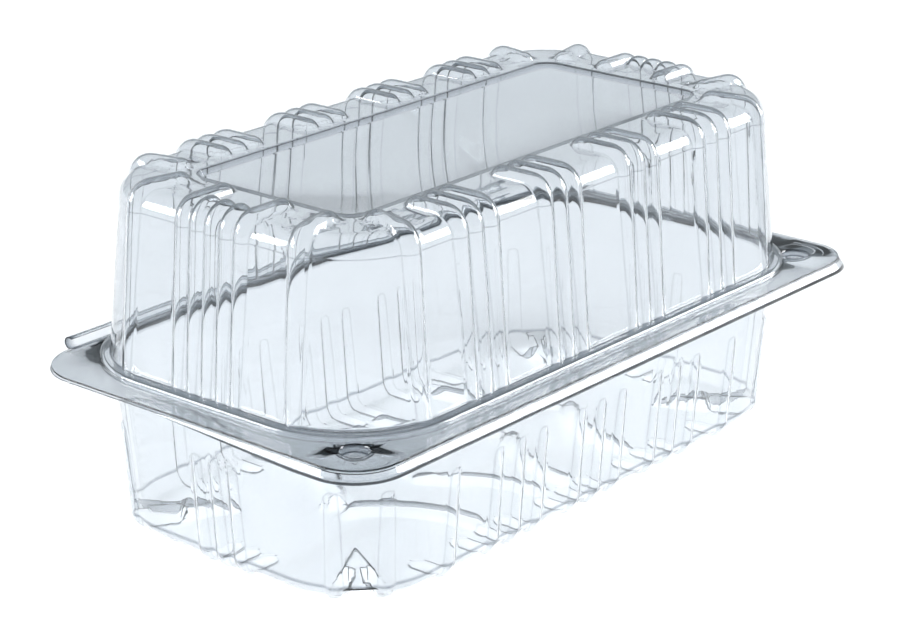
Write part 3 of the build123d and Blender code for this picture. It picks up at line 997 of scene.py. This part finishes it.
# the stage
# The camera was matched to the flange, shoulder and feet in the photo's 900 x 643 frame. Its place
# is measured from the floor under the body's middle, and its angles are degrees from the front.
CAMERA_PLACE = (-543.4 * MM, -456.1 * MM, 303.8 * MM)
CAMERA_AZIMUTH, CAMERA_ELEVATION, CAMERA_ROLL = -49.82, 20.19, -0.14
CAMERA_LENS, CAMERA_SENSOR = 107.0, 36.0
FLOOR_HALF_WIDTH, FLOOR_FRONT, FLOOR_BACK, FLOOR_TURN = 8.0, -4.0, 12.0, -49.8
# name, place, size and watts of each softbox
SOFTBOXES = (
    ("right softbox", (0.9, -0.62, 0.42), (0.7, 0.55), 18.0),
    ("left softbox", (-0.80, 0.72, 0.46), (0.7, 0.5), 18.0),
)
SOFTBOX_TARGET = (0.0, 0.0, 0.07)
SUN_STRENGTH, SUN_SPREAD, SUN_TILT = 3.5, 50, 15
LIGHT_BOUNCES = {
    "max_bounces": 11, "transmission_bounces": 11, "glossy_bounces": 3, "diffuse_bounces": 2,
    "transparent_max_bounces": 16,
}


def pale_floor(finish):
    """A wide floor, turned to face the camera."""
    corners = (
        (-FLOOR_HALF_WIDTH, FLOOR_FRONT), (FLOOR_HALF_WIDTH, FLOOR_FRONT),
        (FLOOR_HALF_WIDTH, FLOOR_BACK), (-FLOOR_HALF_WIDTH, FLOOR_BACK),
    )
    turn = Matrix.Rotation(math.radians(FLOOR_TURN), 3, "Z")
    mesh = bpy.data.meshes.new("floor")
    mesh.from_pydata([turn @ Vector((x, y, 0.0)) for x, y in corners], [], [(0, 1, 2, 3)])
    material = bpy.data.materials.new("floor")
    material.use_nodes = True
    tree = material.node_tree
    surface = tree.nodes["Principled BSDF"].inputs
    surface["Roughness"].default_value = 0.9
    surface["Specular IOR Level"].default_value = 0.0
    speck = add(tree, "ShaderNodeTexNoise")
    speck.inputs["Scale"].default_value = 900.0
    tree.links.new(add(tree, "ShaderNodeTexCoord").outputs["Object"], speck.inputs["Vector"])
    darker = [0.985 * value for value in finish.floor]
    tree.links.new(blend(tree, speck.outputs["Fac"], darker, finish.floor), surface["Base Color"])
    mesh.materials.append(material)
    floor = bpy.data.objects.new("floor", mesh)
    bpy.context.collection.objects.link(floor)


def daylight():
    """Wide soft light from above, which the sheet doesn't mirror."""
    sun = bpy.data.lights.new("daylight", "SUN")
    sun.energy = SUN_STRENGTH
    sun.angle = math.radians(SUN_SPREAD)
    obj = bpy.data.objects.new("daylight", sun)
    obj.rotation_euler = (math.radians(SUN_TILT), math.radians(-SUN_TILT), 0)
    obj.visible_glossy = False
    obj.visible_transmission = False
    bpy.context.collection.objects.link(obj)


def softbox(name, place, size, watts):
    """A softbox that is only seen mirrored in the sheet."""
    light = bpy.data.lights.new(name, "AREA")
    light.shape = "RECTANGLE"
    light.size, light.size_y = size
    light.energy = watts
    obj = bpy.data.objects.new(name, light)
    obj.location = place
    aim = Vector(SOFTBOX_TARGET) - Vector(place)
    obj.rotation_euler = aim.to_track_quat("-Z", "Y").to_euler()
    obj.visible_diffuse = False
    obj.visible_transmission = False
    bpy.context.collection.objects.link(obj)


def studio_walls(finish):
    """The studio's light: paler low down and darker overhead."""
    low, high = 0.25, 0.6
    world = bpy.data.worlds.new("studio")
    world.use_nodes = True
    tree = world.node_tree
    height = add(tree, "ShaderNodeSeparateXYZ")
    tree.links.new(add(tree, "ShaderNodeTexCoord").outputs["Generated"], height.inputs[0])
    colour = blend(tree, ramp(tree, height.outputs["Z"], low, high), finish.horizon, finish.overhead)
    tree.links.new(colour, tree.nodes["Background"].inputs["Color"])
    bpy.context.scene.world = world


def photo_camera():
    camera = bpy.data.cameras.new("camera")
    camera.lens = CAMERA_LENS
    camera.sensor_width = CAMERA_SENSOR
    camera.clip_start = 0.01
    obj = bpy.data.objects.new("camera", camera)
    bpy.context.collection.objects.link(obj)
    azimuth, elevation, roll = (
        math.radians(a) for a in (CAMERA_AZIMUTH, CAMERA_ELEVATION, CAMERA_ROLL)
    )
    back = Vector((
        math.sin(azimuth) * math.cos(elevation), -math.cos(azimuth) * math.cos(elevation),
        math.sin(elevation),
    ))
    side = (-back).cross(Vector((0, 0, 1))).normalized()
    up = side.cross(-back)
    turned_side = math.cos(roll) * side + math.sin(roll) * up
    turned_up = math.cos(roll) * up - math.sin(roll) * side
    turn = Matrix((turned_side, turned_up, back)).transposed().to_4x4()
    place = Vector(CAMERA_PLACE) + Vector((0, body_shift(), 0))
    obj.matrix_world = Matrix.Translation(place) @ turn
    bpy.context.scene.camera = obj


class PACK_OT_studio(bpy.types.Operator):
    """Sets the floor, the soft lights and the camera"""

    bl_idname = "pack.studio"
    bl_label = "Studio"

    def execute(self, context):
        finish = context.scene.pack_finish
        pale_floor(finish)
        daylight()
        for name, place, size, watts in SOFTBOXES:
            softbox(name, place, size, watts)
        studio_walls(finish)
        photo_camera()
        for name, value in LIGHT_BOUNCES.items():
            setattr(context.scene.cycles, name, value)
        context.scene.view_settings.view_transform = "Standard"
        return {"FINISHED"}


class PACK_PT_panel(bpy.types.Panel):
    """Lists the pack's pieces and sizes"""

    bl_idname = "PACK_PT_panel"
    bl_label = "Clamshell pack"
    bl_space_type = "VIEW_3D"
    bl_region_type = "UI"
    bl_category = "Pack"

    def draw(self, context):
        layout = self.layout
        for group in GROUPS:
            box = layout.box()
            values = getattr(context.scene, group)
            for name in values.__annotations__:
                box.prop(values, name)
        for operator in OPERATORS:
            layout.operator(operator.bl_idname)


GROUPS = {
    "pack_sizes": PackSizes, "lid_sizes": LidSizes, "tub_sizes": TubSizes,
    "pack_finish": PackFinish,
}
OPERATORS = (PACK_OT_lid, PACK_OT_tub, PACK_OT_hinge, PACK_OT_studio)


def register():
    for kind in (*GROUPS.values(), *OPERATORS, PACK_PT_panel):
        bpy.utils.register_class(kind)
    for name, kind in GROUPS.items():
        setattr(bpy.types.Scene, name, bpy.props.PointerProperty(type=kind))


def unregister():
    for name in GROUPS:
        delattr(bpy.types.Scene, name)
    for kind in reversed((*GROUPS.values(), *OPERATORS, PACK_PT_panel)):
        bpy.utils.unregister_class(kind)


def main():
    register()
    bpy.ops.pack.lid()
    bpy.ops.pack.tub()
    bpy.ops.pack.hinge()
    bpy.ops.pack.studio()


if __name__ == "__main__":
    main()
